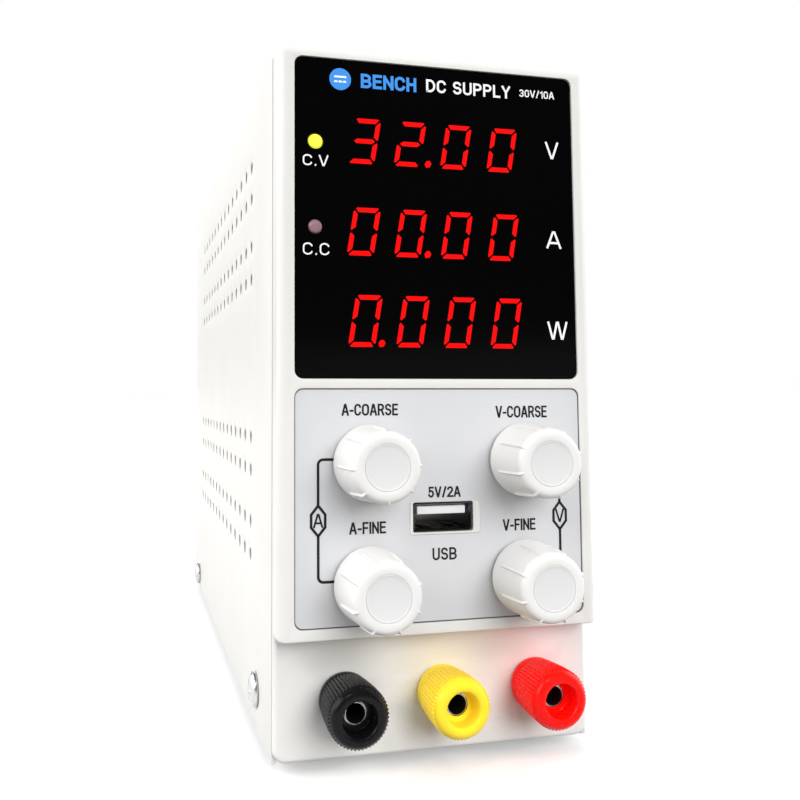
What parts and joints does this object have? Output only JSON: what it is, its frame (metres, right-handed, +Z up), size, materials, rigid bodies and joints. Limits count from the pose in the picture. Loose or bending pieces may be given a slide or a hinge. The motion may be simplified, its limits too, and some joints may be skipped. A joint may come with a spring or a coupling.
{
  "type": "bench power supply",
  "caption": "Narrow upright bench supply: LED display window, potentiometer knobs, USB socket and binding posts in front; fan, mains inlet, switch and voltage selector behind.",
  "frame": {"origin": "centre of the bounding box's footprint, on the surface that the rubber feet stand on", "axes": "+Z up, front panel towards -Y, +X to the right as seen from the front"},
  "size_m": [0.079, 0.2176, 0.161],
  "materials": {
    "cover_paint": "fine textured powder coat",
    "bezel_plastic": "satin moulded",
    "knob_plastic": "satin moulded",
    "knob_cap_plastic": "satin moulded",
    "window_acrylic": "polished, dark tinted",
    "overlay_print": "screen-printed film",
    "display_red": "moulded LED module",
    "led_lit": "clear lens, lit",
    "led_unlit": "clear lens, unlit",
    "board": "solder mask",
    "plated_steel": "zinc or nickel plated",
    "usb_tongue_plastic": "moulded",
    "terminal_black": "moulded, knurled",
    "terminal_yellow": "moulded, knurled",
    "terminal_red": "moulded, knurled",
    "insert_brass": "turned",
    "post_nickel": "nickel plated",
    "foot_rubber": "moulded",
    "heatsink_aluminium": "extruded",
    "ferrite": "sintered ferrite and tape",
    "capacitor_sleeve": "sleeved can",
    "black_plastic": "moulded",
    "guard_wire": "plated wire",
    "selector_red": "moulded",
    "slider_white": "moulded"
  },
  "bodies": {
    "case": {"top_cover": "cover_paint", "base_chassis": "cover_paint", "rear_panel": "cover_paint", "front_bezel": "bezel_plastic", "foot_front_left": "foot_rubber", "foot_front_right": "foot_rubber", "foot_rear_left": "foot_rubber", "foot_rear_right": "foot_rubber", "cover_screw_front_left": "plated_steel", "cover_screw_front_right": "plated_steel", "cover_screw_rear_left": "plated_steel", "cover_screw_rear_right": "plated_steel", "display_window": "window_acrylic", "volts_display": "display_red", "amps_display": "display_red", "watts_display": "display_red", "cv_indicator": "led_lit", "cc_indicator": "led_unlit", "front_board": "board", "control_overlay": "overlay_print", "amps_coarse_potentiometer": "plated_steel", "amps_fine_potentiometer": "plated_steel", "volts_coarse_potentiometer": "plated_steel", "volts_fine_potentiometer": "plated_steel", "usb_shell": "plated_steel", "usb_tongue": "usb_tongue_plastic", "negative_terminal_post": "post_nickel", "ground_terminal_post": "post_nickel", "positive_terminal_post": "post_nickel", "main_board": "board", "heatsink": "heatsink_aluminium", "transformer": "ferrite", "bulk_capacitor": "capacitor_sleeve", "fan_frame": "black_plastic", "fan_guard": "guard_wire", "power_inlet": "black_plastic", "switch_housing": "black_plastic", "selector_housing": "selector_red"},
    "amps_coarse": {"amps_coarse_knob": "knob_plastic", "amps_coarse_cap": "knob_cap_plastic", "amps_coarse_shaft": "plated_steel"},
    "amps_fine": {"amps_fine_knob": "knob_plastic", "amps_fine_cap": "knob_cap_plastic", "amps_fine_shaft": "plated_steel"},
    "volts_coarse": {"volts_coarse_knob": "knob_plastic", "volts_coarse_cap": "knob_cap_plastic", "volts_coarse_shaft": "plated_steel"},
    "volts_fine": {"volts_fine_knob": "knob_plastic", "volts_fine_cap": "knob_cap_plastic", "volts_fine_shaft": "plated_steel"},
    "negative_terminal_carrier": {"negative_terminal_insert": "insert_brass"},
    "negative_terminal_grip": {"negative_terminal_cap": "terminal_black"},
    "ground_terminal_carrier": {"ground_terminal_insert": "insert_brass"},
    "ground_terminal_grip": {"ground_terminal_cap": "terminal_yellow"},
    "positive_terminal_carrier": {"positive_terminal_insert": "insert_brass"},
    "positive_terminal_grip": {"positive_terminal_cap": "terminal_red"},
    "fan": {"fan_rotor": "black_plastic"},
    "drawer": {"fuse_drawer": "black_plastic"},
    "rocker": {"switch_rocker": "black_plastic"},
    "selector": {"selector_slider": "slider_white"}
  },
  "joints": [
    {"name": "amps_coarse_turn", "type": "hinge", "parent": "case", "child": "amps_coarse", "pos_m": [-0.0171, -0.09541, 0.0678], "axis": [0, 1, 0], "range_deg": [-150, 150]},
    {"name": "amps_fine_turn", "type": "hinge", "parent": "case", "child": "amps_fine", "pos_m": [-0.0171, -0.09541, 0.0417], "axis": [0, 1, 0], "range_deg": [-150, 150]},
    {"name": "volts_coarse_turn", "type": "hinge", "parent": "case", "child": "volts_coarse", "pos_m": [0.0193, -0.09541, 0.0679], "axis": [0, 1, 0], "range_deg": [-150, 150]},
    {"name": "volts_fine_turn", "type": "hinge", "parent": "case", "child": "volts_fine", "pos_m": [0.0193, -0.09541, 0.0418], "axis": [0, 1, 0], "range_deg": [-150, 150]},
    {"name": "negative_terminal_travel", "type": "slide", "parent": "case", "child": "negative_terminal_carrier", "axis": [0, -1, 0], "range_m": [0, 0.004]},
    {"name": "negative_terminal_turn", "type": "hinge", "parent": "negative_terminal_carrier", "child": "negative_terminal_grip", "pos_m": [-0.0214, -0.09541, 0.0162], "axis": [0, -1, 0], "range_deg": [0, 1441]},
    {"name": "ground_terminal_travel", "type": "slide", "parent": "case", "child": "ground_terminal_carrier", "axis": [0, -1, 0], "range_m": [0, 0.004]},
    {"name": "ground_terminal_turn", "type": "hinge", "parent": "ground_terminal_carrier", "child": "ground_terminal_grip", "pos_m": [0.0012, -0.09541, 0.0162], "axis": [0, -1, 0], "range_deg": [0, 1441]},
    {"name": "positive_terminal_travel", "type": "slide", "parent": "case", "child": "positive_terminal_carrier", "axis": [0, -1, 0], "range_m": [0, 0.004]},
    {"name": "positive_terminal_turn", "type": "hinge", "parent": "positive_terminal_carrier", "child": "positive_terminal_grip", "pos_m": [0.0239, -0.09541, 0.0162], "axis": [0, -1, 0], "range_deg": [0, 1441]},
    {"name": "fan_spin", "type": "hinge", "parent": "case", "child": "fan", "pos_m": [0, 0.09459, 0.123], "axis": [0, 1, 0], "continuous": true},
    {"name": "fuse_drawer_pull", "type": "slide", "parent": "case", "child": "drawer", "axis": [0, 1, 0], "range_m": [0, 0.014]},
    {"name": "power_switch_rock", "type": "hinge", "parent": "case", "child": "rocker", "pos_m": [-0.017, 0.10309, 0.074], "axis": [0, 0, 1], "range_deg": [0, 22]},
    {"name": "voltage_selector_slide", "type": "slide", "parent": "case", "child": "selector", "axis": [1, 0, 0], "range_m": [0, 0.0042]}
  ],
  "couplings": [
    {"joint": "negative_terminal_turn", "follows": "negative_terminal_travel", "rad_per_m": 6283.2},
    {"joint": "ground_terminal_turn", "follows": "ground_terminal_travel", "rad_per_m": 6283.2},
    {"joint": "positive_terminal_turn", "follows": "positive_terminal_travel", "rad_per_m": 6283.2}
  ]
}
